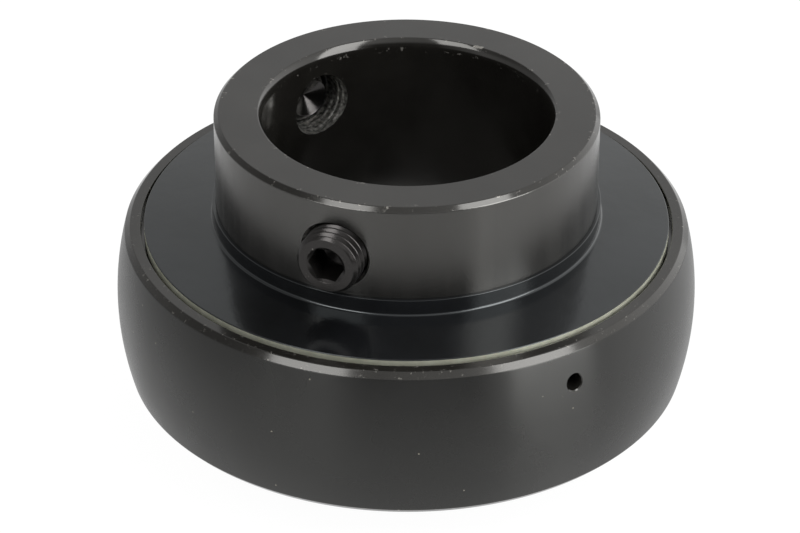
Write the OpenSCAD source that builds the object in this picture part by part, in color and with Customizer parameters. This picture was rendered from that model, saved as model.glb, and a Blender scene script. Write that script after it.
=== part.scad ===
// Insert ball bearing: a wide inner ring held to its shaft by two set screws, nine balls in a riveted
// ribbon cage, and an outer ring with a spherical seat that lets the bearing line itself up in its housing.
// The origin is the centre of the spherical seat, and +Z runs along the bore towards the set screws.
// The bore and the height of the section set the circle of the balls and their size, and the widths add
// up from the balls outwards.

/* [Inner ring] */
// Diameter of the bore
bore_d = 35; // [34:0.5:36]
// How far the inner ring stands out below the outer ring
short_h = 7.5; // [6.5:0.1:9]
// Chamfer at both outside ends of the inner ring
collar_chamfer = 0.55; // [0.3:0.05:0.8]
// How far the rounded lip widens the bore at each end
bore_lip_w = 0.6; // [0.3:0.05:0.8]
// How deep the rounded lip runs into the bore
bore_lip_h = 1.4; // [1:0.1:2]

/* [Outer ring] */
// Height of the section from the bore to the spherical seat
section_h = 18.5; // [18:0.1:19]
// Flat width of each side face as a share of the section's height
face_share = 0.0703; // [0.055:0.0001:0.085]
// Height of the chamfer between a side face and the spherical seat
seat_chamfer_h = 0.77; // [0.5:0.01:1]
// Width of that chamfer across the side face as a share of the section's height
chamfer_share = 0.0378; // [0.03:0.0001:0.05]
// Depth of the recess around each flinger
recess_depth = 1.4; // [1.3:0.1:1.6]
// Width of the ledge between a recess and the seal's seat as a share of the section's height
ledge_share = 0.0757; // [0.06:0.0001:0.085]
// Depth of each seal's seat below its recess
seal_seat_depth = 1.5; // [1.4:0.05:1.7]

/* [Oil holes] */
// Diameter of an oil hole
oil_hole_d = 2.1; // [1.6:0.1:2.4]
// Distance of an oil hole's middle from the seal's seat
oil_hole_inset = 1.55; // [1.3:0.05:1.7]
// Direction of the first oil hole
oil_hole_angle = 325; // [300:1:345]
// Angle from one oil hole to the next
oil_hole_step = 120; // [90:5:180]

/* [Balls and cage] */
// Diameter of a ball as a share of the distance from one ball's middle to the next
ball_share = 0.6073; // [0.58:0.0001:0.63]
// Running clearance between a ball and each raceway
race_clear = 0.02; // [0.01:0.01:0.04]
// Radius of a raceway as a share of the ball's diameter
race_share = 0.52; // [0.515:0.005:0.53]
// Height of the inner ring's shoulders as a share of the ball's diameter
inner_shoulder_share = 0.2045; // [0.19:0.0005:0.22]
// Height of the outer ring's shoulders as a share of the ball's diameter
outer_shoulder_share = 0.191; // [0.18:0.001:0.2]
// Clearance of a ball in its cage pocket
pocket_clear = 0.12; // [0.1:0.01:0.2]
// Thickness of the cage strip
cage_t = 0.9; // [0.7:0.05:1]
// Gap between the inner ring and the cage as a share of the ball's diameter
gap_in_share = 0.1035; // [0.08:0.0005:0.12]
// Gap between the cage and the outer ring as a share of the ball's diameter
gap_out_share = 0.117; // [0.09:0.001:0.135]
// Radius of a rivet as a share of the strip from the rivet's middle to a pocket
rivet_share = 0.33; // [0.28:0.01:0.4]
// Radius of a rivet's head as a share of the same strip
rivet_head_share = 0.6; // [0.5:0.01:0.7]
// Height of a rivet's head
rivet_head_h = 0.7; // [0.5:0.05:0.9]

/* [Seals] */
// Clearance between the cage and the seal
seal_clear = 0.22; // [0.1:0.01:0.4]
// Thickness of the pressed steel core
core_t = 0.6; // [0.5:0.05:0.7]
// Height of the core's rim in its seat
core_rim_h = 1.4; // [1.1:0.05:1.4]
// Width of the rubber between the inner ring and the core
lip_w = 1.83; // [1.6:0.01:2]
// How far the rubber grips over the core's inner edge
rubber_grip = 0.9; // [0.6:0.05:1.2]
// Thickness of the rubber above and below the core
rubber_cover = 0.3; // [0.2:0.05:0.35]
// Height of the upper lip above the core
lip_rise = 1.3; // [1:0.1:1.5]
// Clearance between a lip and the inner ring
lip_clear = 0.02; // [0.01:0.01:0.04]
// Height of a lip's edge
lip_edge_h = 0.2; // [0.1:0.05:0.3]
// Depth of the grease groove between the lips
lip_groove = 0.8; // [0.5:0.05:1]
// Thickness of the upper lip at its edge
lip_t = 0.5; // [0.3:0.05:0.7]

/* [Flingers] */
// Thickness of the flinger's sheet
flinger_t = 0.45; // [0.3:0.05:0.6]
// Gap between the flinger's edge and the wall of its recess
flinger_gap = 0.45; // [0.3:0.05:0.6]
// Height of the flinger's edge above the side face
flinger_proud = 0.45; // [0.35:0.05:0.6]
// Slope of the flinger's plate, which falls from the neck to the edge
flinger_slope = 6.5; // [4:0.5:8]
// Height of the turned-down edge
flinger_edge_h = 1.55; // [1.4:0.05:1.7]
// Outside radius of the bend at the edge
flinger_bend_r = 0.12; // [0.08:0.02:0.2]
// Radius of the hollow bend at the neck
flinger_neck_r = 0.35; // [0.3:0.05:0.8]
// Lean of the neck, which grips the collar with its upper end
flinger_lean = 8; // [0:1:12]
// Height of the neck's end above the side face
flinger_neck_h = 2.85; // [2.6:0.05:3.2]

/* [Set screws] */
// Diameter of a set screw over the crests of its thread
screw_d = 7.8; // [7.7:0.05:7.9]
// Pitch of the thread, which is the travel of one turn
screw_pitch = 1; // [0.8:0.05:1.25]
// Length of a set screw
screw_len = 8; // [7.5:0.1:8.5]
// Distance of the screws from the collar's end face
screw_inset = 7.2; // [6.8:0.1:7.6]
// Width of the collar's wall between the flinger's neck and a screw hole's mouth
screw_rise = 1; // [0.6:0.05:1.4]
// Direction of the first set screw
screw_angle = 270; // [250:1:290]
// Angle from the second screw to the first
screw_step = 120; // [90:5:135]
// Turns that the first screw is backed out from the shaft
turns_out_1 = 0.5; // [0:0.1:3]
// Turns that the second screw is backed out from the shaft
turns_out_2 = 2.1; // [0:0.1:3]
// Width across the flats of the hexagon socket
socket_af = 4; // [3.6:0.1:4.4]
// Depth of the hexagon socket
socket_depth = 4; // [3:0.1:4.4]
// How far the countersink at the socket's mouth reaches past its corners
socket_chamfer = 0.1; // [0.05:0.05:0.3]
// Chamfer at the socket end of a screw
screw_chamfer = 0.45; // [0.3:0.05:0.6]
// Diameter of the cup point's rim
cup_d = 5; // [4.6:0.1:5.4]
// Depth of the cup point
cup_depth = 1.3; // [0.8:0.1:1.6]
// Clearance all round between a screw's crests and the bottom of its hole's thread
screw_clear = 0.15; // [0.1:0.01:0.2]
// Width of the chamfer at a screw hole's mouth
mouth_chamfer = 0.3; // [0.3:0.05:0.4]

/* [Hidden] */
$fn = 96;
ball_count = 9;
past = 1;

// Sizes that follow from others are kept to the hundredth of a millimetre
function hundredth(size) = round(100 * size) / 100;

// The circle of the balls lies halfway between the bore and the seat
bore_r = bore_d / 2;
outer_r = bore_r + section_h;
pitch_r = hundredth((bore_r + outer_r) / 2);
ball_d = ball_share * 2 * pitch_r * sin(180 / ball_count);
ball_r = ball_d / 2;
race_r = ball_d * race_share;
inner_race_r = pitch_r - ball_r - race_clear;
outer_race_r = pitch_r + ball_r + race_clear;
collar_r = hundredth(inner_race_r + inner_shoulder_share * ball_d);
outer_land_r = hundredth(outer_race_r - outer_shoulder_share * ball_d);

// Heights add up from the middle of the balls
pocket_r = hundredth(ball_r + pocket_clear);
land_z = pocket_r + cage_t + seal_clear + rubber_cover;
seal_seat_z = land_z + seal_seat_depth;
half_w = seal_seat_z + recess_depth;
neck_top = half_w + flinger_neck_h;

cage_in_r = hundredth(collar_r + gap_in_share * ball_d);
cage_out_r = hundredth(outer_land_r - gap_out_share * ball_d);
rivet_strip = 2 * pitch_r * sin(90 / ball_count) - pocket_r - cage_t;
rivet_r = rivet_share * rivet_strip;
rivet_head_r = rivet_head_share * rivet_strip;

chamfer_z = half_w - seat_chamfer_h;
chamfer_r = sqrt(pow(outer_r, 2) - pow(chamfer_z, 2));
face_r = hundredth(chamfer_r - chamfer_share * section_h);
recess_r = hundredth(face_r - face_share * section_h);
seal_seat_r = hundredth(recess_r - ledge_share * section_h);
oil_hole_z = land_z - oil_hole_inset;

lip_r = collar_r + lip_clear;
core_bore_r = lip_r + lip_w;
rubber_r = core_bore_r + rubber_grip;

flinger_r = recess_r - flinger_gap;
rim_z = half_w + flinger_proud;
foot_z = rim_z - flinger_edge_h;
neck_out_r = collar_r + flinger_t / cos(flinger_lean);
// The plate's upper side is the line r sin(slope) + z cos(slope) = plate_line, and the neck's outer side is the
// line r cos(lean) + z sin(lean) = neck_line. The hollow's centre lies at its radius from both
plate_line = flinger_r * sin(flinger_slope) + rim_z * cos(flinger_slope);
neck_line = neck_out_r * cos(flinger_lean) + neck_top * sin(flinger_lean);
from_plate = plate_line + flinger_neck_r;
from_neck = neck_line + flinger_neck_r;
hollow_x = (from_neck * cos(flinger_slope) - from_plate * sin(flinger_lean)) / cos(flinger_lean + flinger_slope);
hollow_z = (from_plate * cos(flinger_lean) - from_neck * sin(flinger_slope)) / cos(flinger_lean + flinger_slope);
bend_x = flinger_r - flinger_bend_r;
bend_z = (plate_line - flinger_bend_r - bend_x * sin(flinger_slope)) / cos(flinger_slope);
under_x = flinger_r - flinger_t;
under_z = (plate_line - flinger_t - under_x * sin(flinger_slope)) / cos(flinger_slope);

screw_r = screw_d / 2;
hole_r = screw_r + screw_clear;
mouth_r = hole_r + mouth_chamfer;
screw_z = neck_top + screw_rise + mouth_r;
inner_top = screw_z + screw_inset;
inner_bottom = -half_w - short_h;
cup_r = cup_d / 2;
socket_r = socket_af / 2 / cos(30);
countersink_half = 60;
countersink_r = socket_r + socket_chamfer;
countersink_h = (countersink_r - socket_r / 2) / tan(countersink_half);

// What lies between two angles, as seen from the middle of a bend
module sector(a0, a1, reach) {
    middle = (a0 + a1) / 2;
    polygon([[0, 0], reach * [cos(a0), sin(a0)],
        reach / cos((a1 - a0) / 2) * [cos(middle), sin(middle)], reach * [cos(a1), sin(a1)]]);
}

// A bend of a sheet, t thick, around an inside radius, between two angles
module bend(r_in, t, a0, a1) {
    intersection() {
        difference() {
            circle(r = r_in + t);
            circle(r = r_in);
        }
        sector(a0, a1, 2 * (r_in + t));
    }
}

// The rounded lip at one end of the bore: an arc that runs out of the wall and widens it at the face
module bore_lip_cut() {
    lip_r_arc = (pow(bore_lip_h, 2) + pow(bore_lip_w, 2)) / (2 * bore_lip_w);
    difference() {
        translate([bore_r - past, -bore_lip_h])
            square([past + bore_lip_w, bore_lip_h + past]);
        translate([bore_r + lip_r_arc, -bore_lip_h])
            circle(r = lip_r_arc);
    }
}

module inner_ring_section() {
    c = collar_chamfer;
    difference() {
        polygon([[bore_r, inner_bottom], [collar_r - c, inner_bottom], [collar_r, inner_bottom + c],
            [collar_r, inner_top - c], [collar_r - c, inner_top], [bore_r, inner_top]]);
        translate([inner_race_r + race_r, 0])
            circle(r = race_r);
        translate([0, inner_top])
            bore_lip_cut();
        translate([0, inner_bottom])
            mirror([0, 1])
                bore_lip_cut();
    }
}

// Places a piece on a set screw's axis, with its own +Z outwards from the bore
module along_screw(angle) {
    translate([0, 0, screw_z])
        rotate([0, 0, angle])
            rotate([0, 90, 0])
                children();
}

module screw_hole() {
    mouth_level = sqrt(pow(collar_r, 2) - pow(mouth_r, 2));
    cylinder(h = collar_r + past, r = hole_r);
    translate([0, 0, mouth_level - mouth_chamfer])
        cylinder(h = mouth_chamfer, r1 = hole_r, r2 = mouth_r);
    translate([0, 0, mouth_level])
        cylinder(h = collar_r - mouth_level + past, r = mouth_r);
}

module inner_ring() {
    color([0.16, 0.16, 0.155])
        difference() {
            rotate_extrude()
                inner_ring_section();
            for (i = [0, 1])
                along_screw(screw_angle - i * screw_step)
                    screw_hole();
        }
}

module outer_ring_section() {
    difference() {
        intersection() {
            circle(r = outer_r);
            polygon([[outer_land_r, -half_w], [face_r, -half_w], [chamfer_r, -chamfer_z],
                [2 * outer_r, -chamfer_z], [2 * outer_r, chamfer_z], [chamfer_r, chamfer_z],
                [face_r, half_w], [outer_land_r, half_w]]);
        }
        translate([outer_race_r - race_r, 0])
            circle(r = race_r);
        for (side = [0, 1])
            mirror([0, side]) {
                translate([0, seal_seat_z])
                    square([recess_r, recess_depth + past]);
                translate([0, land_z])
                    square([seal_seat_r, seal_seat_depth + past]);
            }
    }
}

module outer_ring() {
    color([0.13, 0.135, 0.14])
        difference() {
            rotate_extrude()
                outer_ring_section();
            for (i = [0, 1])
                rotate([0, 0, oil_hole_angle + i * oil_hole_step])
                    translate([pitch_r, 0, oil_hole_z])
                        rotate([0, 90, 0])
                            cylinder(h = outer_r, d = oil_hole_d);
        }
}

module ball(number) {
    color([0.8, 0.81, 0.83])
        rotate([0, 0, (number - 1) * 360 / ball_count])
            translate([pitch_r, 0, 0])
                sphere(r = ball_r);
}

// Half of the ribbon: a flat strip that is pressed out round each ball
module cage_half() {
    color([0.62, 0.6, 0.56])
        difference() {
            intersection() {
                union() {
                    cylinder(h = cage_t, r = cage_out_r + past);
                    for (i = [0 : ball_count - 1])
                        rotate([0, 0, i * 360 / ball_count])
                            translate([pitch_r, 0, 0])
                                sphere(r = pocket_r + cage_t);
                }
                difference() {
                    cylinder(h = outer_r, r = cage_out_r);
                    translate([0, 0, -past])
                        cylinder(h = outer_r + 2 * past, r = cage_in_r);
                }
            }
            for (i = [0 : ball_count - 1])
                rotate([0, 0, i * 360 / ball_count])
                    translate([pitch_r, 0, 0])
                        sphere(r = pocket_r);
            for (i = [0 : ball_count - 1])
                rotate([0, 0, (i + 0.5) * 360 / ball_count])
                    translate([pitch_r, 0, -past])
                        cylinder(h = cage_t + 2 * past, r = rivet_r);
        }
}

// A rivet with a shallow domed head at each end
module rivet() {
    dome_r = (pow(rivet_head_r, 2) + pow(rivet_head_h, 2)) / (2 * rivet_head_h);
    rotate_extrude()
        intersection() {
            union() {
                translate([0, -cage_t])
                    square([rivet_r, 2 * cage_t]);
                for (side = [0, 1])
                    mirror([0, side])
                        intersection() {
                            translate([0, cage_t + rivet_head_h - dome_r])
                                circle(r = dome_r);
                            translate([0, cage_t])
                                square([rivet_head_r, rivet_head_h]);
                        }
            }
            translate([0, -outer_r])
                square([outer_r, 2 * outer_r]);
        }
}

module cage_rivets() {
    color([0.66, 0.64, 0.6])
        for (i = [0 : ball_count - 1])
            rotate([0, 0, (i + 0.5) * 360 / ball_count])
                translate([pitch_r, 0, 0])
                    rivet();
}

// The seal's pressed steel core: a washer with a rim that is pressed into the outer ring
module seal_core() {
    r_in = core_t / 2;
    color([0.5, 0.5, 0.5])
        rotate_extrude() {
            translate([core_bore_r, land_z])
                square([seal_seat_r - core_t - r_in - core_bore_r, core_t]);
            translate([seal_seat_r - core_t - r_in, land_z + core_t + r_in])
                bend(r_in, core_t, 270, 360);
            translate([seal_seat_r - core_t, land_z + core_t + r_in])
                square([core_t, core_rim_h - core_t - r_in]);
        }
}

// The moulded rubber round the core's inner edge, with a main lip and a dust lip
module seal_lip() {
    z0 = land_z - rubber_cover;
    z1 = land_z + core_t + rubber_cover;
    tip_z = land_z + core_t + lip_rise;
    root_r = core_bore_r - rubber_cover;
    color([0.09, 0.09, 0.09])
        rotate_extrude()
            difference() {
                polygon([[rubber_r, z0], [rubber_r, z1], [root_r, z1], [lip_r + lip_t, tip_z], [lip_r, tip_z],
                    [lip_r, tip_z - lip_edge_h], [lip_r + lip_groove, z1 - lip_edge_h],
                    [lip_r + lip_groove, z0 + 2 * lip_edge_h], [lip_r, z0 + lip_edge_h], [lip_r, z0]]);
                translate([core_bore_r, land_z])
                    square([outer_r, core_t]);
            }
}

// Points round a centre, from one angle to another
function round_points(centre, radius, start, end, steps) =
    [for (i = [0 : steps]) let (a = start + (end - start) * i / steps) centre + radius * [cos(a), sin(a)]];

// The flinger's section: a neck on the collar, a plate that falls outwards, and an edge that turns down into
// the recess
module flinger_section() {
    neck_side = 180 + flinger_lean;
    plate_side = 270 - flinger_slope;
    polygon(concat(
        [[neck_out_r, neck_top]],
        round_points([hollow_x, hollow_z], flinger_neck_r, neck_side, plate_side, 6),
        round_points([bend_x, bend_z], flinger_bend_r, 90 - flinger_slope, 0, 3),
        [[flinger_r, foot_z], [under_x, foot_z], [under_x, under_z]],
        round_points([hollow_x, hollow_z], flinger_neck_r + flinger_t, plate_side, neck_side, 6),
        [[collar_r, neck_top]]));
}

module flinger() {
    color([0.14, 0.16, 0.2])
        rotate_extrude()
            flinger_section();
}

module set_screw(angle, turns_out) {
    body_r = screw_r;
    color([0.13, 0.12, 0.12])
        along_screw(angle)
            translate([0, 0, bore_r + turns_out * screw_pitch])
                difference() {
                    rotate_extrude()
                        polygon([[0, cup_depth], [cup_r, 0], [body_r, body_r - cup_r],
                            [body_r, screw_len - screw_chamfer], [body_r - screw_chamfer, screw_len],
                            [0, screw_len]]);
                    translate([0, 0, screw_len - socket_depth])
                        rotate([0, 0, 90])
                            cylinder(h = socket_depth + past, r = socket_r, $fn = 6);
                    translate([0, 0, screw_len - countersink_h])
                        cylinder(h = countersink_h + past, r1 = socket_r / 2,
                            r2 = countersink_r + past * tan(countersink_half));
                }
}

outer_ring();
inner_ring();
ball(1);  // ball_1
ball(2);  // ball_2
ball(3);  // ball_3
ball(4);  // ball_4
ball(5);  // ball_5
ball(6);  // ball_6
ball(7);  // ball_7
ball(8);  // ball_8
ball(9);  // ball_9
cage_half();  // cage_half_upper
mirror([0, 0, 1]) cage_half();  // cage_half_lower
cage_rivets();
seal_core();  // seal_core_upper
mirror([0, 0, 1]) seal_core();  // seal_core_lower
seal_lip();  // seal_lip_upper
mirror([0, 0, 1]) seal_lip();  // seal_lip_lower
flinger();  // flinger_upper
mirror([0, 0, 1]) flinger();  // flinger_lower
set_screw(screw_angle, turns_out_1);  // set_screw_1
set_screw(screw_angle - screw_step, turns_out_2);  // set_screw_2
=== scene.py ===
import math

import bpy
import numpy as np
from mathutils import Matrix


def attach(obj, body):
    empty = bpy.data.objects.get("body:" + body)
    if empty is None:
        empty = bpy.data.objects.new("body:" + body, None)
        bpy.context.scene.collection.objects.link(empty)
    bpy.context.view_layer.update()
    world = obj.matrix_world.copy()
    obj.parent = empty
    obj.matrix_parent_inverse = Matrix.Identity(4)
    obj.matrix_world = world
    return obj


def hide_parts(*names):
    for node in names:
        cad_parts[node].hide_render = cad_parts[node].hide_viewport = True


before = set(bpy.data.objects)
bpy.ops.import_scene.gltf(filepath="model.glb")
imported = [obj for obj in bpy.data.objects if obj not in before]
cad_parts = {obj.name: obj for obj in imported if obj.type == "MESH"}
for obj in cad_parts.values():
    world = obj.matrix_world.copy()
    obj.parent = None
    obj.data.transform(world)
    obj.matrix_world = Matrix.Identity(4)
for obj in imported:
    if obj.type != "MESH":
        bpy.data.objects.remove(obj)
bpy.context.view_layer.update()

# One millimetre in metres. A turned surface has one column of points for each degree.
MM = 0.001
COLUMNS = 360

# Sizes in millimetres, as the solids have them. The seat is drawn in by 0.015 to stay inside their
# faceted box.
BORE_R = 17.5
COLLAR_R = 23.45
RING_TOP = 25.4
RING_FOOT = -17.5
RACE_R = 5.778
SEAT_R = 36.0 - 0.015
HALF_W = 10.0
LAND_R = 30.2

# The set screws: height, turn about the axis, and each cup point's distance from the axis. The collar is
# left open for a hole over rows by columns of cells, and so is the bore, where a degree is narrower.
SCREW_Z = 18.2
SCREW_ANGLES = (270, 150)
SCREW_REACH = (18.0, 19.6)
MOUTH_CELLS = (28, 28)
BORE_CELLS = (20, 36)

# The oil holes: height, turn about the axis, radius, and cells along each side of a hole's open square
OIL_Z = 5.55
OIL_ANGLES = (325, 85)
OIL_R = 1.05
OIL_CELLS = 8

# How far a corner's wear reaches along the faces beside it, and a length that keeps a division from zero
WEAR_REACH = 0.22
TINY = 1e-12

# The photograph's camera: turned about the upright axis from the front, and above the horizon.
CAMERA_TURN = math.radians(21.15)
CAMERA_RISE = math.radians(32.64)
CAMERA_FAR = 0.435372


# Outlines in the half plane of radius and height

def straight(start, end, cells=1, stops=None):
    """A straight piece of an outline: point = start + s (end - start) / length, s running from 0 to the
    length. It is cut into equal cells, or at the given stops."""
    start, end = np.array(start, float), np.array(end, float)
    length = np.linalg.norm(end - start)
    along = (end - start) / length
    where = lambda s: start + s[:, None] * along
    turn = lambda s: np.repeat(along[None], len(s), 0)
    return {"length": length, "where": where, "turn": turn, "cells": cells, "stops": stops}


def bowed(centre, radius, start, end, cells):
    """A round piece of an outline: point = centre + radius (cos a, sin a), a running from start to end in
    degrees."""
    first, span = math.radians(start), math.radians(end - start)
    length, way = abs(span) * radius, math.copysign(1, span)
    angle = lambda s: first + span * s / length
    middle = np.array(centre, float)
    where = lambda s: middle + radius * np.stack([np.cos(angle(s)), np.sin(angle(s))], 1)
    turn = lambda s: way * np.stack([-np.sin(angle(s)), np.cos(angle(s))], 1)
    return {"length": length, "where": where, "turn": turn, "cells": cells, "stops": None}


def outline(pieces, corners):
    """Samples a closed outline. Where two pieces meet, the corner's width is left out of both, and the
    curve (1 - t)^2 A + 2 t (1 - t) C + t^2 B runs round their corner C. Pieces that run smoothly into
    each other have no corner and share a point. The outward normal is the direction of travel turned by a
    right angle. Returns points, normals, nearness to a corner from 0 to 1, and each piece's first row."""
    steps = 4
    points, ways, near, firsts = [], [], [], []
    count = len(pieces)
    for i, piece in enumerate(pieces):
        before, after, length = corners[i - 1], corners[i], piece["length"]
        if piece["stops"] is None:
            s = np.linspace(before, length - after, piece["cells"] + 1)
        else:
            s = np.concatenate([[before], np.array(piece["stops"], float), [length - after]])
        if after == 0:
            s = s[:-1]
        firsts.append(sum(len(p) for p in points))
        points.append(piece["where"](s))
        ways.append(piece["turn"](s))
        gap = np.minimum(s, length - s)
        near.append(np.exp(-(gap / WEAR_REACH) ** 2))
        if after > 0:
            follower = pieces[(i + 1) % count]
            a, c = piece["where"](np.array([length - after, length]))
            b = follower["where"](np.array([after]))[0]
            t = np.linspace(0, 1, steps + 1)[1:-1, None]
            points.append((1 - t) ** 2 * a + 2 * t * (1 - t) * c + t ** 2 * b)
            ways.append((1 - t) * (c - a) + t * (b - c))
            near.append(np.ones(steps - 1))
    points, ways, near = np.concatenate(points), np.concatenate(ways), np.concatenate(near)
    ways /= np.linalg.norm(ways, axis=1)[:, None]
    ahead = np.roll(points, -1, 0)
    area = (points[:, 0] * ahead[:, 1] - ahead[:, 0] * points[:, 1]).sum()
    normals = np.stack([ways[:, 1], -ways[:, 0]], 1) * np.sign(area)
    return points, normals, near, firsts


# Shells: points shared between faces, with a normal at each corner of each face

def new_shell():
    return {"points": [], "near": [], "faces": [], "normals": [], "finish": [], "count": 0}


def add_points(shell, points, near=0.0):
    """Adds points of shape (..., 3) in millimetres and returns their numbers in the same shape."""
    flat = points.reshape(-1, 3)
    numbers = shell["count"] + np.arange(len(flat))
    shell["points"].append(flat)
    shell["near"].append(np.broadcast_to(np.asarray(near, float), points.shape[:-1]).reshape(-1))
    shell["count"] += len(flat)
    return numbers.reshape(points.shape[:-1])


def add_faces(shell, faces, normals, finish=0):
    """Adds faces (n, k) with corner normals (n, k, 3), and turns round each face that looks the other
    way. The finish is the number of the piece's material, one for all or one for each face."""
    points = np.concatenate(shell["points"])
    corners = points[faces]
    facing = np.cross(corners[:, 1] - corners[:, 0], corners[:, 2] - corners[:, 0])
    if faces.shape[1] == 4:
        facing += np.cross(corners[:, 2] - corners[:, 0], corners[:, 3] - corners[:, 0])
    wrong = (facing * normals.sum(1)).sum(1) < 0
    faces = np.where(wrong[:, None], faces[:, ::-1], faces)
    normals = np.where(wrong[:, None, None], normals[:, ::-1], normals)
    shell["faces"].append(faces)
    shell["normals"].append(normals)
    shell["finish"].append(np.broadcast_to(finish, len(faces)))


def finish_shell(shell, name, *materials):
    """Puts a shell's arrays into a mesh and gives it its corner normals and its materials."""
    points = np.concatenate(shell["points"]) * MM
    mesh = bpy.data.meshes.new(name)
    sizes = np.concatenate([np.full(len(f), f.shape[1]) for f in shell["faces"]])
    corners = np.concatenate([f.reshape(-1) for f in shell["faces"]])
    starts = np.concatenate([[0], np.cumsum(sizes)[:-1]])
    mesh.vertices.add(len(points))
    mesh.vertices.foreach_set("co", points.astype(np.float32).reshape(-1))
    mesh.loops.add(len(corners))
    mesh.loops.foreach_set("vertex_index", corners.astype(np.int32))
    mesh.polygons.add(len(sizes))
    mesh.polygons.foreach_set("loop_start", starts.astype(np.int32))
    mesh.update(calc_edges=True)
    mesh.shade_smooth()
    normals = np.concatenate([n.reshape(-1, 3) for n in shell["normals"]])
    normals /= np.linalg.norm(normals, axis=1)[:, None] + TINY
    mesh.normals_split_custom_set(normals.tolist())
    edge = mesh.attributes.new("corner", "FLOAT", "POINT")
    edge.data.foreach_set("value", np.concatenate(shell["near"]).astype(np.float32))
    for material in materials:
        mesh.materials.append(material)
    mesh.polygons.foreach_set("material_index", np.concatenate(shell["finish"]).astype(np.int32))
    piece = bpy.data.objects.new(name, mesh)
    bpy.context.scene.collection.objects.link(piece)
    return piece


def turn_outline(shell, shape, windows=(), finish=None):
    """Carries a closed outline round the upright axis: (r cos a, r sin a, z), one column for each degree.
    A window (first row, last row, first column, last column) is left open. The finish is a number for
    each piece of the outline. Returns the points' numbers."""
    points, normals, near, firsts = shape
    angle = np.radians(np.arange(COLUMNS) * 360 / COLUMNS)
    c, s = np.cos(angle), np.sin(angle)
    place = np.stack([points[:, :1] * c, points[:, :1] * s, np.repeat(points[:, 1:], COLUMNS, 1)], 2)
    face = np.stack([normals[:, :1] * c, normals[:, :1] * s, np.repeat(normals[:, 1:], COLUMNS, 1)], 2)
    numbers = add_points(shell, place, near[:, None])
    rows = len(points)
    row_finish = np.zeros(rows, int)
    if finish is not None:
        row_finish = np.repeat(finish, np.diff(firsts + [rows]))
    k, j = np.meshgrid(np.arange(rows), np.arange(COLUMNS), indexing="ij")
    k2, j2 = (k + 1) % rows, (j + 1) % COLUMNS
    keep = np.ones((rows, COLUMNS), bool)
    for row0, row1, col0, col1 in windows:
        keep[row0:row1, np.arange(col0, col1) % COLUMNS] = False
    quads = np.stack([numbers[k, j], numbers[k, j2], numbers[k2, j2], numbers[k2, j]], -1)[keep]
    looks = np.stack([face[k, j], face[k, j2], face[k2, j2], face[k2, j]], -2)[keep]
    add_faces(shell, quads, looks, row_finish[k][keep])
    return numbers


def windows_at(first_row, cells, angles):
    """Windows of rows by columns of cells from the first row, one with its middle column at each angle."""
    rows, columns = cells
    return [(first_row, first_row + rows, a - columns // 2, a + columns // 2) for a in angles]


def window_rim(numbers, window, upward):
    """The numbers of the points round a window, from its lower left corner to the right and then up."""
    row0, row1, col0, col1 = window
    if not upward:
        row0, row1 = row1, row0
    step = 1 if row1 > row0 else -1
    cols, rows = np.arange(col0, col1), np.arange(row0, row1, step)
    wrap = lambda c: c % COLUMNS
    low = numbers[row0, wrap(cols)]
    right = numbers[rows, wrap(col1)]
    high = numbers[row1, wrap(np.arange(col1, col0, -1))]
    left = numbers[np.arange(row1, row0, -step), wrap(col0)]
    return np.concatenate([low, right, high, left])


def cylinder(radius, way):
    """An upright cylinder for fill_window. way is 1 for its outside and -1 for its inside."""
    return lambda z: radius + 0 * z, lambda z: (way + 0 * z, 0 * z)


def fill_window(shell, rim, angle, height, surface, ring, steps, finish=0):
    """Fills a window round a cross hole. In angle and height the points run in straight lines from the
    rim to the ring (offset sideways, offset upwards), and each lies on a turned surface. The surface is
    two functions of height: its radius, and its normal's parts outwards and upwards."""
    radius_at, normal_at = surface
    ring_near = 0.6
    points = np.concatenate(shell["points"])[rim]
    rim_a = np.arctan2(points[:, 1], points[:, 0])
    centre = math.radians(angle)
    rim_a = centre + (rim_a - centre + math.pi) % (2 * math.pi) - math.pi
    ring_z = height + ring[:, 1]
    ring_a = centre + np.arcsin(ring[:, 0] / radius_at(ring_z))
    share = np.linspace(0, 1, steps + 1)[:, None]
    a = rim_a + share * (ring_a - rim_a)
    z = points[:, 2] + share * (ring_z - points[:, 2])
    r = radius_at(z)
    place = np.stack([r * np.cos(a), r * np.sin(a), z], 2)
    nr, nz = normal_at(z)
    look = np.stack([nr * np.cos(a), nr * np.sin(a), nz * np.ones_like(a)], 2)
    near = np.zeros((steps, len(rim)))
    near[-1] = ring_near
    numbers = np.concatenate([rim[None], add_points(shell, place[1:], near)])
    join_rows(shell, numbers, look[:-1], look[1:], finish)
    return numbers[-1]


def join_rows(shell, numbers, low, high, finish):
    """Faces between closed rows of points. low and high are the normals at each rib's two ends."""
    ahead, low2, high2 = np.roll(numbers, -1, 1), np.roll(low, -1, 1), np.roll(high, -1, 1)
    faces = np.stack([numbers[:-1], ahead[:-1], ahead[1:], numbers[1:]], -1).reshape(-1, 4)
    normals = np.stack([low, low2, high2, high], -2).reshape(-1, 4, 3)
    add_faces(shell, faces, normals, finish)


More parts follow.
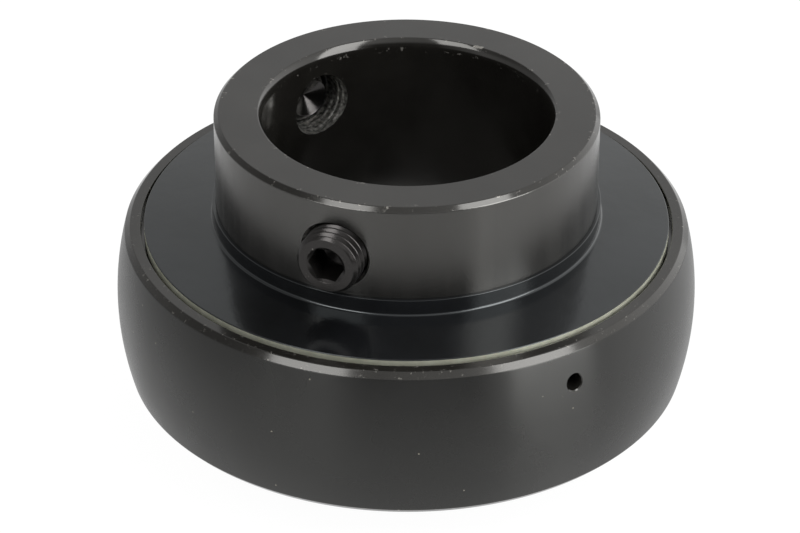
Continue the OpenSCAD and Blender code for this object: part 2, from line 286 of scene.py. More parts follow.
def join_ribs(shell, numbers, smooth, finish=0, inward=False):
    """Faces between closed rows whose normals come from the points: the way round crossed with the way
    along. Two neighbouring ribs share the mean of their normals on the rows that are smooth. The rows run
    in order along the shape, so one sense holds for all: the middle row looks away from its centre, or
    inward to it."""
    points = np.concatenate(shell["points"])[numbers]
    around = np.roll(points, -1, 1) - np.roll(points, 1, 1)
    along = points[1:] - points[:-1]
    low, high = np.cross(around[:-1], along), np.cross(around[1:], along)
    for side in (low, high):
        side /= np.linalg.norm(side, axis=2)[..., None] + TINY
    mean = high[:-1] + low[1:]
    mean /= np.linalg.norm(mean, axis=2)[..., None] + TINY
    shared = np.array(smooth[1:-1], bool)
    high[:-1][shared] = mean[shared]
    low[1:][shared] = mean[shared]
    middle = len(points) // 2
    outward = points[middle] - points[middle].mean(0)
    sense = np.sign((outward * low[middle]).sum())
    if inward:
        sense = -sense
    join_rows(shell, numbers, low * sense, high * sense, finish)


def across(angle, x, radius, t, height):
    """A row of points round a cross hole or screw: x outwards along its direction, and the offset
    radius (cos t, sin t) to its left and above its height."""
    c, s = math.cos(math.radians(angle)), math.sin(math.radians(angle))
    side = radius * np.cos(t)
    return np.stack([x * c - side * s, x * s + side * c, height + radius * np.sin(t)], -1)


def ring_of(radius, count, lead=0):
    """Offsets (radius cos t, radius sin t) in even steps, and the angles t. The first point lies towards
    a window's lower left corner, or earlier by as many points as lead."""
    t = np.radians((np.arange(count) - lead) * 360 / count - 135)
    return radius * np.stack([np.cos(t), np.sin(t)], 1), t


# The rings and flingers

def outer_ring_outline():
    """The outer ring's section: the spherical seat, then a chamfer, side face, recess, seal seat and land
    on either side of the raceway. The seat and the upper land have rows of points set for the oil holes.
    Returns the section and the first such row of each."""
    race_centre, land_z, face_r, recess_r, recess_z, core_r = 26.548, 7.1, 34.1, 32.8, 8.6, 31.4
    chamfer_r, chamfer_z = 34.797, 9.23
    edge = math.degrees(math.acos((LAND_R - race_centre) / RACE_R))
    race_z = RACE_R * math.sin(math.radians(edge))
    rim = math.asin(chamfer_z / SEAT_R)
    seat_half, land_half, clear, apart, seat_cells = 2.4, 1.055, 0.3, 0.1, 60
    oil_rows = np.linspace(OIL_Z - seat_half, OIL_Z + seat_half, OIL_CELLS + 1)
    oil = SEAT_R * (np.arcsin(oil_rows / SEAT_R) + rim)
    plain = SEAT_R * np.linspace(0, 2 * rim, seat_cells + 1)
    plain = plain[(plain > clear) & (plain < plain[-1] - clear)]
    plain = plain[(plain < oil[0] - apart) | (plain > oil[-1] + apart)]
    seat = bowed((0, 0), SEAT_R, -math.degrees(rim), math.degrees(rim), seat_cells)
    seat["stops"] = np.sort(np.concatenate([plain, oil]))
    land_rows = np.linspace(OIL_Z - land_half, OIL_Z + land_half, OIL_CELLS + 1)
    profile = [(chamfer_r, chamfer_z), (face_r, HALF_W), (recess_r, HALF_W), (recess_r, recess_z),
               (core_r, recess_z), (core_r, land_z), (LAND_R, land_z)]
    mirrored = [(r, -z) for r, z in reversed(profile)]
    upper = [straight(a, b, 2) for a, b in zip(profile, profile[1:])]
    lower = [straight(a, b, 2) for a, b in zip(mirrored, mirrored[1:])]
    land = straight((LAND_R, land_z), (LAND_R, race_z), stops=land_z - land_rows[::-1])
    raceway = bowed((race_centre, 0), RACE_R, edge, -edge, 24)
    pieces = [seat] + upper + [land, raceway, straight((LAND_R, -race_z), (LAND_R, -land_z), 2)] + lower
    rims, steps, race_edges = [0.1, 0.09, 0.1], [0.05] * 4, [0.005] * 2
    corners = rims + steps + race_edges + steps + rims
    shape = outline(pieces, corners)
    firsts = shape[3]
    seat_row = firsts[0] + 1 + int(np.searchsorted(seat["stops"], oil[0]))
    land_row = firsts[1 + len(upper)] + 1
    return shape, seat_row, land_row


def make_outer_ring(seat_finish, turned_finish):
    """The outer ring as one shell: its section turned round the axis, with two oil holes through seat and
    land. A hole has a small chamfer at the seat and closes in a little at the land. The seat is ground
    and the other faces are turned."""
    shell = new_shell()
    shape, seat_row, land_row = outer_ring_outline()
    oil_window = (OIL_CELLS, OIL_CELLS)
    seat_windows = windows_at(seat_row, oil_window, OIL_ANGLES)
    land_windows = windows_at(land_row, oil_window, OIL_ANGLES)
    numbers = turn_outline(shell, shape, seat_windows + land_windows, [0] + [1] * 15)
    seat_at = lambda z: np.sqrt(SEAT_R ** 2 - z ** 2)
    sphere = seat_at, lambda z: (seat_at(z) / SEAT_R, z / SEAT_R)
    chamfer, close, wall_rows = 0.12, 0.05, (34.5, 33, 31.5)
    wide, t = ring_of(OIL_R + chamfer, 4 * OIL_CELLS)
    wall, _ = ring_of(OIL_R, 4 * OIL_CELLS)
    fine, _ = ring_of(OIL_R - close, 4 * OIL_CELLS)
    skin = np.sqrt(SEAT_R ** 2 - (OIL_Z + wall[:, 1]) ** 2 - wall[:, 0] ** 2)
    for angle, seat_window, land_window in zip(OIL_ANGLES, seat_windows, land_windows):
        seat_rim = window_rim(numbers, seat_window, True)
        land_rim = window_rim(numbers, land_window, False)
        outside = fill_window(shell, seat_rim, angle, OIL_Z, sphere, wide, 4)
        inside = fill_window(shell, land_rim, angle, OIL_Z, cylinder(LAND_R, -1), fine, 2, 1)
        rows = [across(angle, x, OIL_R, t, OIL_Z) for x in (skin - chamfer, *wall_rows)]
        middle = add_points(shell, np.stack(rows))
        smooth = [0, 0, 1, 1, 1, 0]
        join_ribs(shell, np.concatenate([outside[None], middle, inside[None]]), smooth, 1, inward=True)
    return finish_shell(shell, "outer_ring_turned", seat_finish, turned_finish)


def inner_ring_outline():
    """The inner ring's section: collar, ends with small chamfers, rounded bore lips, and the raceway.
    Collar and bore have rows of points set for the screw holes. Returns the section and the first such
    row of each."""
    race_centre, chamfer, lip_w, lip_h = 26.952, 0.55, 0.6, 1.4
    lip_r = (lip_h ** 2 + lip_w ** 2) / (2 * lip_w)
    lip_turn = math.degrees(math.asin(lip_h / lip_r))
    race_z = math.sqrt(RACE_R ** 2 - (race_centre - COLLAR_R) ** 2)
    edge = math.degrees(math.asin(race_z / RACE_R))
    mouth_half, bore_half = 5.6, 5.4
    mouth_rows = np.linspace(SCREW_Z - mouth_half, SCREW_Z + mouth_half, MOUTH_CELLS[0] + 1)
    bore_rows = np.linspace(SCREW_Z - bore_half, SCREW_Z + bore_half, BORE_CELLS[0] + 1)
    top, foot = RING_TOP, RING_FOOT
    below_mouth = [2.5, 5.5]
    collar = straight((COLLAR_R, race_z), (COLLAR_R, top - chamfer),
                      stops=np.concatenate([below_mouth, mouth_rows - race_z]))
    bore_from = top - lip_h
    below_bore = np.linspace(11, -14, 16)
    bore = straight((BORE_R, bore_from), (BORE_R, foot + lip_h),
                    stops=bore_from - np.concatenate([bore_rows[::-1], below_bore]))
    above = [
        collar,
        straight((COLLAR_R, top - chamfer), (COLLAR_R - chamfer, top), 2),
        straight((COLLAR_R - chamfer, top), (BORE_R + lip_w, top), 8),
        bowed((BORE_R + lip_r, bore_from), lip_r, 180 - lip_turn, 180, 8),
    ]
    pieces = above + [
        bore,
        bowed((BORE_R + lip_r, foot + lip_h), lip_r, 180, 180 + lip_turn, 8),
        straight((BORE_R + lip_w, foot), (COLLAR_R - chamfer, foot), 8),
        straight((COLLAR_R - chamfer, foot), (COLLAR_R, foot + chamfer), 2),
        straight((COLLAR_R, foot + chamfer), (COLLAR_R, -race_z), 8),
        bowed((race_centre, 0), RACE_R, 180 + edge, 180 - edge, 24),
    ]
    corners = [0.08, 0.08, 0.08, 0, 0, 0.08, 0.08, 0.08, 0.02, 0.02]
    shape = outline(pieces, corners)
    firsts = shape[3]
    return shape, firsts[0] + 1 + len(below_mouth), firsts[len(above)] + 1


def make_inner_ring(collar_finish, turned_finish, thread_finish):
    """The inner ring as one shell, with two threaded cross holes. A hole's wall has the radius hole -
    rise times a ridge that runs once round for each millimetre of depth and eases off at both ends. The
    collar is ground, the other faces are turned, and the wall has a pale finish of its own, whose
    paleness is a painted highlight of the lit threads."""
    shell = new_shell()
    shape, mouth_row, bore_row = inner_ring_outline()
    mouth_windows = windows_at(mouth_row, MOUTH_CELLS, SCREW_ANGLES)
    bore_windows = windows_at(bore_row, BORE_CELLS, SCREW_ANGLES)
    numbers = turn_outline(shell, shape, mouth_windows + bore_windows, [0] + [1] * 7 + [0, 1])
    hole_r, chamfer, rise = 4.05, 0.3, 0.09
    mouth_r = hole_r + chamfer
    level = math.sqrt(COLLAR_R ** 2 - mouth_r ** 2)
    outer_end, inner_end, step, margin, ease_over = 22.4, 17.7, 0.1, 0.05, 0.4
    ridge_flat, ridge_steep = 1.6, 5
    depth = np.arange(outer_end, inner_end - step / 10, -step)
    count = 2 * sum(MOUTH_CELLS)
    lead = (BORE_CELLS[1] - BORE_CELLS[0]) // 4
    wide, t = ring_of(mouth_r, count)
    inner, _ = ring_of(hole_r, count, lead)
    for angle, mouth_window, bore_window in zip(SCREW_ANGLES, mouth_windows, bore_windows):
        mouth_rim = window_rim(numbers, mouth_window, True)
        bore_rim = window_rim(numbers, bore_window, False)
        mouth = fill_window(shell, mouth_rim, angle, SCREW_Z, cylinder(COLLAR_R, 1), wide, 5)
        bore = fill_window(shell, bore_rim, angle, SCREW_Z, cylinder(BORE_R, -1), inner, 5, 1)
        rows = [across(angle, level, mouth_r, t, SCREW_Z),
                across(angle, level - chamfer, hole_r, t, SCREW_Z)]
        for x in depth:
            turn = (x + t / (2 * math.pi)) % 1
            ridge = np.clip(ridge_flat - np.abs(turn - 0.5) * ridge_steep, 0, 1)
            ease = np.clip((min(outer_end - x, x - inner_end) + margin) / ease_over, 0, 1)
            rows.append(across(angle, x, hole_r - rise * ridge * ease, t, SCREW_Z))
        near = np.array([0.8, 0.3] + [0] * len(depth))
        middle = add_points(shell, np.stack(rows), near[:, None])
        smooth = [0, 0, 0] + [1] * len(depth) + [0]
        wall = np.concatenate([mouth[None], middle, np.roll(bore, -lead)[None]])
        join_ribs(shell, wall, smooth, 2, inward=True)
    return finish_shell(shell, "inner_ring_turned", collar_finish, turned_finish, thread_finish)


def make_flinger(name, side, sheet_finish, edge_finish):
    """A flinger pressed from one sheet: an upright neck on the collar, a hollow bend, a plate that falls
    outwards and a turned-down edge. The plate is the line r sin(slope) + z cos(slope) = plate, and a
    bend's centre lies at its radius from both of the lines that it joins. The side is 1 above and -1
    below."""
    thick, hollow_r, bend_r, inner_r, neck_top = 0.45, 0.35, 0.12, 0.06, 13.15
    edge_r, rim_z, foot_z, slope, clearance = 32.35, 10.45, 8.9, 4.6, 0.004
    tilt = math.radians(slope)
    grip = COLLAR_R + clearance
    neck_out = grip + thick
    plate = edge_r * math.sin(tilt) + rim_z * math.cos(tilt)
    on_plate = lambda r, below: (plate - below - r * math.sin(tilt)) / math.cos(tilt)
    hollow = (neck_out + hollow_r, on_plate(neck_out + hollow_r, -hollow_r))
    bend = (edge_r - bend_r, on_plate(edge_r - bend_r, bend_r))
    inner_x = edge_r - thick - inner_r
    inner = (inner_x, on_plate(inner_x, thick + inner_r))

    def touch(centre, radius, degrees):
        a = math.radians(degrees)
        return centre[0] + radius * math.cos(a), centre[1] + radius * math.sin(a)

    under_r = hollow_r + thick
    pieces = [
        straight((edge_r, foot_z), (edge_r, bend[1]), 6),
        bowed(bend, bend_r, 0, 90 - slope, 5),
        straight(touch(bend, bend_r, 90 - slope), touch(hollow, hollow_r, 270 - slope), 12),
        bowed(hollow, hollow_r, 270 - slope, 180, 10),
        straight(touch(hollow, hollow_r, 180), (neck_out, neck_top), 2),
        straight((neck_out, neck_top), (grip, neck_top), 1),
        straight((grip, neck_top), touch(hollow, under_r, 180), 1),
        bowed(hollow, under_r, 180, 270 - slope, 10),
        straight(touch(hollow, under_r, 270 - slope), touch(inner, inner_r, 90 - slope), 4),
        bowed(inner, inner_r, 90 - slope, 0, 4),
        straight(touch(inner, inner_r, 0), (edge_r - thick, foot_z), 2),
        straight((edge_r - thick, foot_z), (edge_r, foot_z), 1),
    ]
    corners = [0, 0, 0, 0, 0.1, 0.04, 0, 0, 0, 0, 0.06, 0.06]
    points, normals, near, firsts = outline(pieces, corners)
    shape = points * [1, side], normals * [1, side], near, firsts
    shell = new_shell()
    # The outside of the turned-down rim and its cut edge are bare.
    turn_outline(shell, shape, finish=[1] + [0] * 10 + [1])
    return finish_shell(shell, name, sheet_finish, edge_finish)


# The set screws

def hexagon(t, flats):
    """Radius of a hexagon with corners at t = 0, 60 degrees and so on: flats / 2 / cos(t from a flat)."""
    return flats / 2 / np.cos((t % (math.pi / 3)) - math.pi / 6)


def make_screw(name, angle, reach, material):
    """A set screw as one shell, in rows from the bottom of its cup point to the bottom of its socket.
    Outside, its radius is the least of the point's chamfer, the head's chamfer and the thread crest -
    (crest - root) w, where w is a wave of (depth - turn) with flat tops, one turn for each millimetre.
    The socket is a hexagon with a countersunk mouth and a drilled tip."""
    shell = new_shell()
    count, crest, root, length = 96, 3.9, 3.4, 8.0
    t = np.radians(np.arange(count) * 360 / count)
    point_r, head_from = 2.5, 7.55
    thread_from, thread_to, step, crest_flat, steep = 0.06, 7.97, 0.07, 0.2, 2.6
    cup = ((1.24, 0.05, 0), (1.2, 0.16, 1), (0.8, 0.95, 1), (0.06, 2.42, 0), (0.0, point_r, 0))
    rows = [(depth, radius) for depth, radius, soft in cup]
    smooth = [soft for depth, radius, soft in cup]
    for depth in np.arange(thread_from, thread_to, step):
        wave = (depth - t / (2 * math.pi)) % 1
        thread = crest - (crest - root) * np.clip(np.abs(wave - 0.5) * steep - crest_flat, 0, 1)
        ends = np.minimum(point_r + depth, crest - np.maximum(depth - head_from, 0))
        rows.append((depth, np.minimum(thread, ends)))
        smooth.append(1)
    face_r, mouth_r, flats, lip_w, lip_h = 3.43, 2.409, 4.0, 0.03, 0.02
    socket_h, drill_r, drill_h, drill_tip = 4.0, 1.9, 4.9, 0.05
    wall = hexagon(t, flats)
    sink = (mouth_r - wall) / math.tan(math.radians(60)) + lip_h
    head = [(0, face_r), (0, mouth_r + lip_w), (lip_h, mouth_r), (sink, wall), (socket_h, wall),
            (socket_h, drill_r), (drill_h, drill_tip)]
    rows += [(length - below, radius) for below, radius in head]
    smooth += [0] * len(head)
    near = np.zeros(len(rows))
    cup_rim, face_edge, socket_lip = [3, 4], [-7], [-6, -5]
    near[cup_rim + face_edge + socket_lip] = 1
    places = [across(angle, reach + depth, radius, t, SCREW_Z) for depth, radius in rows]
    numbers = add_points(shell, np.stack(places), near[:, None])
    join_ribs(shell, numbers, smooth)
    a = math.radians(angle)
    outwards = np.array([math.cos(a), math.sin(a), 0])
    for ring, way in ((numbers[0], -1), (numbers[-1], 1)):
        ends = np.concatenate(shell["points"])[ring]
        tip = add_points(shell, ends.mean(0)[None])
        faces = np.stack([ring, np.roll(ring, -1), np.repeat(tip, count)], 1)
        add_faces(shell, faces, np.broadcast_to(outwards * way, (count, 3, 3)).copy())
    return finish_shell(shell, name, material)


# Finishes

def feed(tree, made, **inputs):
    """Sets a node's inputs to values or links them to sockets. i0 is its first input, i1 its second and
    so on, and in other names an underscore stands for a space."""
    for key, value in inputs.items():
        numbered = key[0] == "i" and key[1:].isdigit()
        socket = made.inputs[int(key[1:]) if numbered else key.replace("_", " ")]
        if isinstance(value, bpy.types.NodeSocket):
            tree.links.new(value, socket)
        else:
            socket.default_value = value


def node(tree, kind, settings=None, **inputs):
    """A new node with its settings and its inputs."""
    made = tree.nodes.new(kind)
    for key, value in (settings or {}).items():
        setattr(made, key, value)
    feed(tree, made, **inputs)
    return made


def maths(tree, way, a, b=0.0, clamp=False):
    return node(tree, "ShaderNodeMath", {"operation": way, "use_clamp": clamp}, i0=a, i1=b).outputs[0]


def added(tree, start, value, factor):
    """start + value x factor"""
    return maths(tree, "ADD", start, maths(tree, "MULTIPLY", value, factor))


def span(tree, value, low, high, out_low=0.0, out_high=1.0):
    """Maps a value from one range to another, held at its ends and eased."""
    made = node(tree, "ShaderNodeMapRange", {"interpolation_type": "SMOOTHSTEP"}, i0=value, i1=low, i2=high,
                i3=out_low, i4=out_high)
    return made.outputs[0]


def noise(tree, where, scale, detail, rough):
    made = node(tree, "ShaderNodeTexNoise", {}, Vector=where, Scale=scale, Detail=detail, Roughness=rough)
    return made.outputs[0]


def blend_colour(tree, share, a, b):
    """(1 - share) a + share b, on the sockets that the mix node has for colours"""
    return node(tree, "ShaderNodeMix", {"data_type": "RGBA"}, i0=share, i6=a, i7=b).outputs[2]


def new_group(name, inputs, outputs):
    """An empty node group with its named sockets, where v is a vector and f a number."""
    group = bpy.data.node_groups.new(name, "ShaderNodeTree")
    kinds = {"v": "NodeSocketVector", "f": "NodeSocketFloat"}
    for title, kind, value in inputs:
        made = group.interface.new_socket(title, in_out="INPUT", socket_type=kinds[kind])
        if value is not None:
            made.default_value = value
    for title, kind in outputs:
        group.interface.new_socket(title, in_out="OUTPUT", socket_type=kinds[kind])
    return group, group.nodes.new("NodeGroupInput"), group.nodes.new("NodeGroupOutput")


def turned_lines_group():
    """Marks of turning and grinding, which follow the place's radius and height. Height = fine noise of
    (radius, height, wander) at the spacing + 0.8 coarse noise of the same, where wander is a slow noise
    round the axis that breaks the marks up."""
    group, start, end = new_group("turned_lines", [("Place", "v", None), ("Spacing", "f", 4000.0)],
                                  [("Height", "f")])
    apart = node(group, "ShaderNodeSeparateXYZ", {}, i0=start.outputs["Place"])
    x, y, z = apart.outputs
    squares = maths(group, "ADD", maths(group, "MULTIPLY", x, x), maths(group, "MULTIPLY", y, y))
    wander = maths(group, "MULTIPLY", noise(group, start.outputs["Place"], 25.0, 1.0, 0.55), 0.0005)
    radius = maths(group, "SQRT", squares)
    place = node(group, "ShaderNodeCombineXYZ", {}, i0=radius, i1=z, i2=wander).outputs[0]
    fine = noise(group, place, start.outputs["Spacing"], 2.0, 0.7)
    coarse = noise(group, place, 900.0, 2.0, 0.6)
    feed(group, end, Height=added(group, fine, coarse, 0.8))
    return group


def tone_group():
    """Slow and mottled changes of tone: Tone is a slow noise about 0.5, and Spots is 1 where a noise 22
    times as fine is high."""
    group, start, end = new_group("tone", [("Place", "v", None), ("Scale", "f", 60.0)],
                                  [("Tone", "f"), ("Spots", "f")])
    place, scale = start.outputs["Place"], start.outputs["Scale"]
    slow = noise(group, place, scale, 4.0, 0.6)
    spots = noise(group, place, maths(group, "MULTIPLY", scale, 22.0), 3.0, 0.65)
    feed(group, end, Tone=slow, Spots=span(group, spots, 0.6, 0.72))
    return group


def edge_wear_group():
    """Bare metal along corners. Worn = corner x (fine noise - (0.78 - 0.3 amount)) x 9, held from 0 to 1,
    and Nicks = corner where a slower noise passes 0.74, which is a few small places."""
    inputs = [("Place", "v", None), ("Corner", "f", 0.0), ("Amount", "f", 0.5)]
    group, start, end = new_group("edge_wear", inputs, [("Worn", "f"), ("Nicks", "f")])
    place, corner = start.outputs["Place"], start.outputs["Corner"]
    level = added(group, 0.78, start.outputs["Amount"], -0.3)
    above = maths(group, "SUBTRACT", noise(group, place, 1400.0, 4.0, 0.65), level)
    worn = maths(group, "MULTIPLY", maths(group, "MULTIPLY", above, 9.0, True), corner)
    nicks = maths(group, "MULTIPLY", span(group, noise(group, place, 420.0, 2.0, 0.5), 0.74, 0.77), corner)
    feed(group, end, Worn=worn, Nicks=nicks)
    return group


GROUPS = {"lines": turned_lines_group(), "tone": tone_group(), "wear": edge_wear_group()}


def use(tree, name, **inputs):
    """The outputs of a shared group."""
    return node(tree, "ShaderNodeGroup", {"node_tree": GROUPS[name]}, **inputs).outputs


def start_material(name, tone_scale, **fixed):
    """A material with fixed values on its shader. Returns it with its tree, its shader, the place on the
    object, the shade from 0 to 1 of its slow tone, and its spots."""
    material = bpy.data.materials.new(name)
    material.use_nodes = True
    tree = material.node_tree
    shader = tree.nodes["Principled BSDF"]
    feed(tree, shader, **fixed)
    place = tree.nodes.new("ShaderNodeTexCoord").outputs["Object"]
    tone = use(tree, "tone", Place=place, Scale=tone_scale)
    return material, tree, shader, place, span(tree, tone["Tone"], 0.3, 0.7), tone["Spots"]


def bumped(tree, height, distance, strength=1.0):
    return node(tree, "ShaderNodeBump", {}, Strength=strength, Distance=distance, Height=height).outputs[0]


def oxide(name, dark, light, rough, rough_more, spacing, lines_um, wear, anisotropic=0.0, ior=1.5,
          nicks=1.0, grain_um=0.0, wave_um=0.0, tint=(1, 1, 1, 1), streak=0.0, specks=0.0):
    """Black oxide on steel: a dark skin that reflects like a dielectric, with turned lines, mottling and
    edges where bare metal shows through. Ground surfaces spread their highlights across the grinding
    lines. Lines, grain and waves are heights in thousandths of a millimetre, streak is the share of
    upright bands in the shade, and specks grows with the number of light specks of dust."""
    material, tree, shader, place, shade, spots = start_material(
        name, 60.0, IOR=ior, Anisotropic=anisotropic, Anisotropic_Rotation=0.25, Specular_Tint=tint)
    bare_colour, dust_colour = (0.25, 0.24, 0.22, 1), (0.16, 0.15, 0.12, 1)
    bare_metal, bare_rough, spots_rough, nick_um = 0.8, 0.12, 0.3, 4.0
    if streak:
        upright = node(tree, "ShaderNodeVectorMath", {"operation": "MULTIPLY"}, i0=place, i1=(1, 1, 0.03))
        band = span(tree, noise(tree, upright.outputs[0], 520.0, 4.0, 0.65), 0.35, 0.65)
        shade = added(tree, maths(tree, "MULTIPLY", shade, 1 - streak), band, streak)
    corner = node(tree, "ShaderNodeAttribute", {"attribute_name": "corner"}).outputs["Fac"]
    worn = use(tree, "wear", Place=place, Corner=corner, Amount=wear)
    nick = maths(tree, "MULTIPLY", worn["Nicks"], nicks)
    bare = maths(tree, "MAXIMUM", worn["Worn"], nick)
    colour = blend_colour(tree, bare, blend_colour(tree, shade, dark, light), bare_colour)
    if specks:
        dust = node(tree, "ShaderNodeTexVoronoi", {}, Vector=place, Scale=1000.0).outputs
        chosen = maths(tree, "LESS_THAN", dust["Color"], specks)
        near = maths(tree, "LESS_THAN", dust["Distance"], 0.1)
        colour = blend_colour(tree, maths(tree, "MULTIPLY", chosen, near), colour, dust_colour)
    mottled = added(tree, added(tree, rough, shade, rough_more), spots, spots_rough * rough_more)
    height = added(tree, maths(tree, "MULTIPLY", nick, -nick_um),
                   use(tree, "lines", Place=place, Spacing=spacing)["Height"], lines_um)
    for scale, depth in ((3200.0, grain_um), (330.0, wave_um)):
        if depth:
            height = added(tree, height, noise(tree, place, scale, 3.0, 0.6), depth)
    feed(tree, shader, Base_Color=colour, Roughness=added(tree, mottled, bare, bare_rough),
         Metallic=maths(tree, "MULTIPLY", bare, bare_metal), Normal=bumped(tree, height, 0.000001))
    if anisotropic:
        tangent = node(tree, "ShaderNodeTangent", {"direction_type": "RADIAL", "axis": "Z"})
        feed(tree, shader, Tangent=tangent.outputs[0])
    return material


def plain_steel(name, colour, light, rough, spacing, depth, metal=1.0, scale=80.0):
    """Bare or blued steel with faint turned lines and a slow change of tone."""
    material, tree, shader, place, shade, spots = start_material(name, scale, Metallic=metal)
    lines = use(tree, "lines", Place=place, Spacing=spacing)["Height"]
    feed(tree, shader, Base_Color=blend_colour(tree, shade, colour, light),
         Roughness=added(tree, rough, spots, 0.08), Normal=bumped(tree, lines, depth))
    return material


def rubber(name):
    """Moulded rubber: dark, soft gloss and a fine grain."""
    material, tree, shader, _, shade, spots = start_material(name, 120.0, IOR=1.5)
    colour = blend_colour(tree, shade, (0.018, 0.018, 0.019, 1), (0.03, 0.03, 0.031, 1))
    feed(tree, shader, Base_Color=colour, Roughness=added(tree, 0.5, shade, 0.12),
         Normal=bumped(tree, spots, 0.00001, 0.6))
    return material


seat_black = oxide(
    "seat_black", (0.002, 0.002, 0.002, 1), (0.005, 0.005, 0.005, 1), 0.25, 0.05, 5000.0, 0.6, 0.2,
    anisotropic=1.0, grain_um=0.5, tint=(1, 1, 0.96, 1), specks=0.16)
collar_black = oxide(
    "collar_black", (0.001, 0.001, 0.001, 1), (0.005, 0.0048, 0.0044, 1), 0.17, 0.05, 4200.0, 0.6, 0.2,
    anisotropic=1.0, ior=1.8, grain_um=20.0, tint=(1, 0.985, 0.94, 1), streak=0.7)
turned_black = oxide(
    "turned_black", (0.004, 0.0037, 0.0032, 1), (0.009, 0.0085, 0.0075, 1), 0.1, 0.06, 3500.0, 0.3, 0.55,
    tint=(1, 0.985, 0.95, 1))
sheet_black = oxide(
    "sheet_black", (0.002, 0.0021, 0.0023, 1), (0.005, 0.0053, 0.006, 1), 0.11, 0.08, 1500.0, 0.2, 0.1,
    nicks=0.0, grain_um=5.0, wave_um=25.0, tint=(0.93, 0.99, 1, 1))
sheet_edge = plain_steel(
    "sheet_edge", (0.7, 0.71, 0.57, 1), (0.84, 0.85, 0.71, 1), 0.48, 2500.0, 0.0000006, 0.9, 400.0)
# The thread wall's pale, patchy metal is a painted highlight: it stands in for light caught on the thread
# crests in the hole.
thread_painted_highlight = plain_steel(
    "thread_painted_highlight", (0.12, 0.12, 0.11, 1), (0.8, 0.79, 0.75, 1), 0.3, 1500.0, 0.000005, 0.95, 2200.0)
screw_black = oxide(
    "screw_black", (0.002, 0.0019, 0.0018, 1), (0.006, 0.0057, 0.0053, 1), 0.14, 0.12, 1800.0, 0.6, 0.4,
    ior=1.42, nicks=0.0, grain_um=9.0, tint=(1, 0.95, 0.93, 1))
bright_ball = plain_steel(
    "bright_ball", (0.62, 0.63, 0.65, 1), (0.7, 0.71, 0.73, 1), 0.08, 6000.0, 0.0000001)
cage_steel = plain_steel(
    "cage_steel", (0.42, 0.4, 0.37, 1), (0.52, 0.5, 0.47, 1), 0.3, 2500.0, 0.0000006)
core_steel = plain_steel(
    "core_steel", (0.3, 0.3, 0.3, 1), (0.38, 0.38, 0.38, 1), 0.35, 2500.0, 0.0000006)
seal_rubber = rubber("seal_rubber")


# Pieces

outer_ring = make_outer_ring(seat_black, turned_black)
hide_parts("outer_ring")
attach(outer_ring, "outer")

inner_ring = make_inner_ring(collar_black, turned_black, thread_painted_highlight)
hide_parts("inner_ring")
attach(inner_ring, "inner")

for name, side in (("flinger_upper", 1), ("flinger_lower", -1)):
    flinger = make_flinger(name + "_pressed", side, sheet_black, sheet_edge)
    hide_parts(name)
    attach(flinger, "inner")

for number, (angle, reach) in enumerate(zip(SCREW_ANGLES, SCREW_REACH), 1):
    screw = make_screw(f"set_screw_{number}_threaded", angle, reach, screw_black)
    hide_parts(f"set_screw_{number}")
    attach(screw, f"screw_{number}")

finishes = {"ball": bright_ball, "cage": cage_steel, "seal_core": core_steel, "seal_lip": seal_rubber}
for name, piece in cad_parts.items():
    for start, material in finishes.items():
        if name.startswith(start):
            for slot in piece.material_slots:
                slot.material = material


# Floor, world, lights and camera

def direction(turn, rise):
    """The unit vector that lies that many degrees round from the camera's side to its right, and that
    many above the horizon."""
    a, e = CAMERA_TURN + math.radians(turn), math.radians(rise)
    return np.array([math.sin(a) * math.cos(e), -math.cos(a) * math.cos(e), math.sin(e)])


def along(tree, place, axis):
    """How far a place lies along an axis: their dot product."""
    made = node(tree, "ShaderNodeVectorMath", {"operation": "DOT_PRODUCT"}, i0=place, i1=tuple(axis))
    return made.outputs["Value"]


def make_floor():
    """A pale floor that the camera sees as nearly white, with the object's soft shadow on it. Glossy rays
    see it white near the object, less so to its left, and dim far out in front, where the photograph's
    table ends: level = table x glossy + 1.02 x camera, where table falls with the distance ahead and to
    the left."""
    mesh = bpy.data.meshes.new("floor")
    reach, gap = 6.0, 0.00002
    z = RING_FOOT * MM - gap
    mesh.from_pydata([(-reach, -reach, z), (reach, -reach, z), (reach, reach, z), (-reach, reach, z)], [],
                     [(0, 1, 2, 3)])
    floor = bpy.data.objects.new("floor", mesh)
    bpy.context.scene.collection.objects.link(floor)
    material = bpy.data.materials.new("floor_white")
    material.use_nodes = True
    tree = material.node_tree
    tree.nodes.clear()
    out = tree.nodes.new("ShaderNodeOutputMaterial")
    place = tree.nodes.new("ShaderNodeTexCoord").outputs["Object"]
    ahead = span(tree, along(tree, place, direction(0, 0)), 0.08, 0.3, 1.0, 0.12)
    beside = span(tree, along(tree, place, direction(-100, 0)), 0.045, 0.11, 1.0, 0.65)
    table = maths(tree, "MULTIPLY", ahead, beside)
    path = tree.nodes.new("ShaderNodeLightPath")
    seen = path.outputs["Is Camera Ray"]
    glossy = maths(tree, "ADD", path.outputs["Is Glossy Ray"], path.outputs["Is Transmission Ray"], True)
    share = maths(tree, "ADD", maths(tree, "MULTIPLY", seen, 0.95), glossy, True)
    level = maths(tree, "ADD", maths(tree, "MULTIPLY", table, glossy), maths(tree, "MULTIPLY", seen, 1.02))
    paint = node(tree, "ShaderNodeBsdfDiffuse", {}, Color=(0.86, 0.86, 0.86, 1))
    glow = node(tree, "ShaderNodeEmission", {}, Color=(1, 1, 1, 1), Strength=level)
    mix = node(tree, "ShaderNodeMixShader", {}, i0=share, i1=paint.outputs[0], i2=glow.outputs[0])
    tree.links.new(mix.outputs[0], out.inputs[0])
    mesh.materials.append(material)


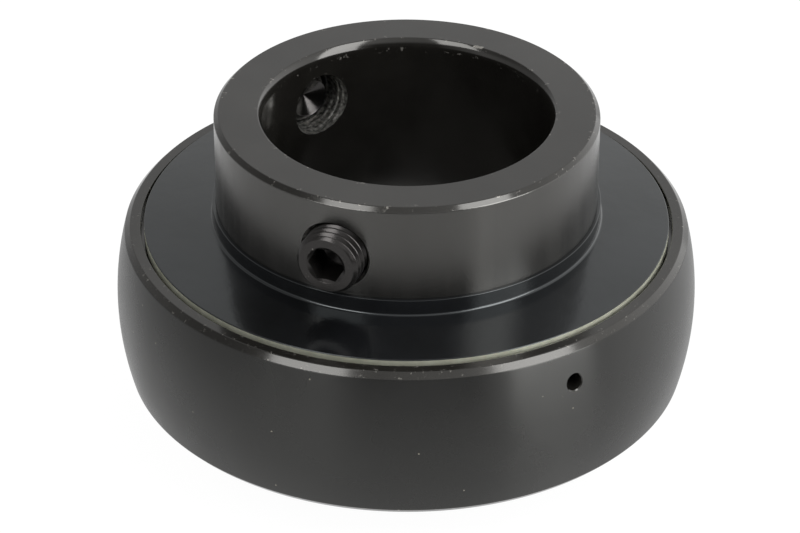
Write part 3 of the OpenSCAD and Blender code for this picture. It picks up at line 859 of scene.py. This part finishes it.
def make_world():
    """A studio by direction only. Near the horizon its level follows the turn from the camera's side, in
    the stops below as degrees and level. Overhead it is 0.9 + 0.75 x the part to the camera's right, and
    the two are blended by height. The camera sees plain white."""
    stops = ((-180, 0.95), (-155, 0.9), (-135, 0.6), (-112, 0.45), (-85, 0.6), (-60, 0.9), (-30, 0.3),
             (-22, 0.05), (25, 0.05), (38, 0.5), (62, 1.4), (100, 2.0), (135, 2.0), (180, 0.95))
    brightest = 2.0
    world = bpy.data.worlds.new("studio")
    bpy.context.scene.world = world
    world.use_nodes = True
    tree = world.node_tree
    tree.nodes.clear()
    out = tree.nodes.new("ShaderNodeOutputWorld")
    way = tree.nodes.new("ShaderNodeTexCoord").outputs["Generated"]
    right = along(tree, way, direction(90, 0))
    turn = maths(tree, "ARCTAN2", right, along(tree, way, direction(0, 0)))
    ramp = node(tree, "ShaderNodeValToRGB", {}, Fac=added(tree, 0.5, turn, 0.5 / math.pi))
    points = ramp.color_ramp.elements
    while len(points) < len(stops):
        points.new(0.5)
    for point, (degrees, level) in zip(points, stops):
        point.position = degrees / 360 + 0.5
        point.color = (level / brightest,) * 3 + (1,)
    level = maths(tree, "MULTIPLY", ramp.outputs[0], brightest)
    over = span(tree, along(tree, way, (0, 0, 1)), 0.28, 0.62)
    level = maths(tree, "MULTIPLY", level, maths(tree, "SUBTRACT", 1.0, over))
    level = added(tree, level, over, added(tree, 0.9, right, 0.75))
    seen = tree.nodes.new("ShaderNodeLightPath").outputs["Is Camera Ray"]
    level = added(tree, seen, level, maths(tree, "SUBTRACT", 1.0, seen))
    glow = node(tree, "ShaderNodeBackground", {}, Color=(1, 1, 1, 1), Strength=level)
    tree.links.new(glow.outputs[0], out.inputs[0])


def stand(thing, right, up, back, place):
    """Puts a light or a camera at a place, with its axes in the world: its right, its up and its back."""
    thing.matrix_world = Matrix([*zip(right, up, back, place), (0, 0, 0, 1)])


def softbox(name, turn, spread, low, high, far, radiance):
    """An upright soft light at that distance from the object's axis. Its sides stand at turn - spread and
    turn + spread, and it reaches from low to high above the horizon, all in degrees. Its power is
    radiance x pi x its area."""
    light = bpy.data.lights.new(name, "AREA")
    light.shape = "RECTANGLE"
    foot, top = far * math.tan(math.radians(low)), far * math.tan(math.radians(high))
    light.size, light.size_y = 2 * far * math.tan(math.radians(spread)), top - foot
    light.energy = radiance * math.pi * light.size * light.size_y
    lamp = bpy.data.objects.new(name, light)
    bpy.context.scene.collection.objects.link(lamp)
    back = direction(turn, 0)
    right = np.cross([0, 0, 1], back)
    place = back * far + np.array([0, 0, (foot + top) / 2])
    stand(lamp, right, (0, 0, 1), back, place)
    lamp.visible_camera = False


def make_camera():
    """The photograph's camera, which looks at the middle of the seat and leans a quarter of a degree."""
    camera = bpy.data.cameras.new("camera")
    camera.sensor_width = 36
    camera.lens = 156.6
    camera.shift_x, camera.shift_y = -0.00771, 0.02384
    camera.clip_start = 0.01
    holder = bpy.data.objects.new("camera", camera)
    bpy.context.scene.collection.objects.link(holder)
    back = direction(0, math.degrees(CAMERA_RISE))
    right = np.cross([0, 0, 1], back)
    right /= np.linalg.norm(right)
    up = np.cross(back, right)
    lean = -0.0047
    c, s = math.cos(lean), math.sin(lean)
    stand(holder, c * right - s * up, s * right + c * up, back, back * CAMERA_FAR)
    bpy.context.scene.camera = holder


make_floor()
make_world()
softbox("left_softbox", -42.5, 16.5, 30, 62, 0.6, 6.8)
softbox("right_softbox", 55.5, 16.5, 5, 58, 0.6, 7.7)
make_camera()
bpy.context.scene.view_settings.view_transform = "Standard"
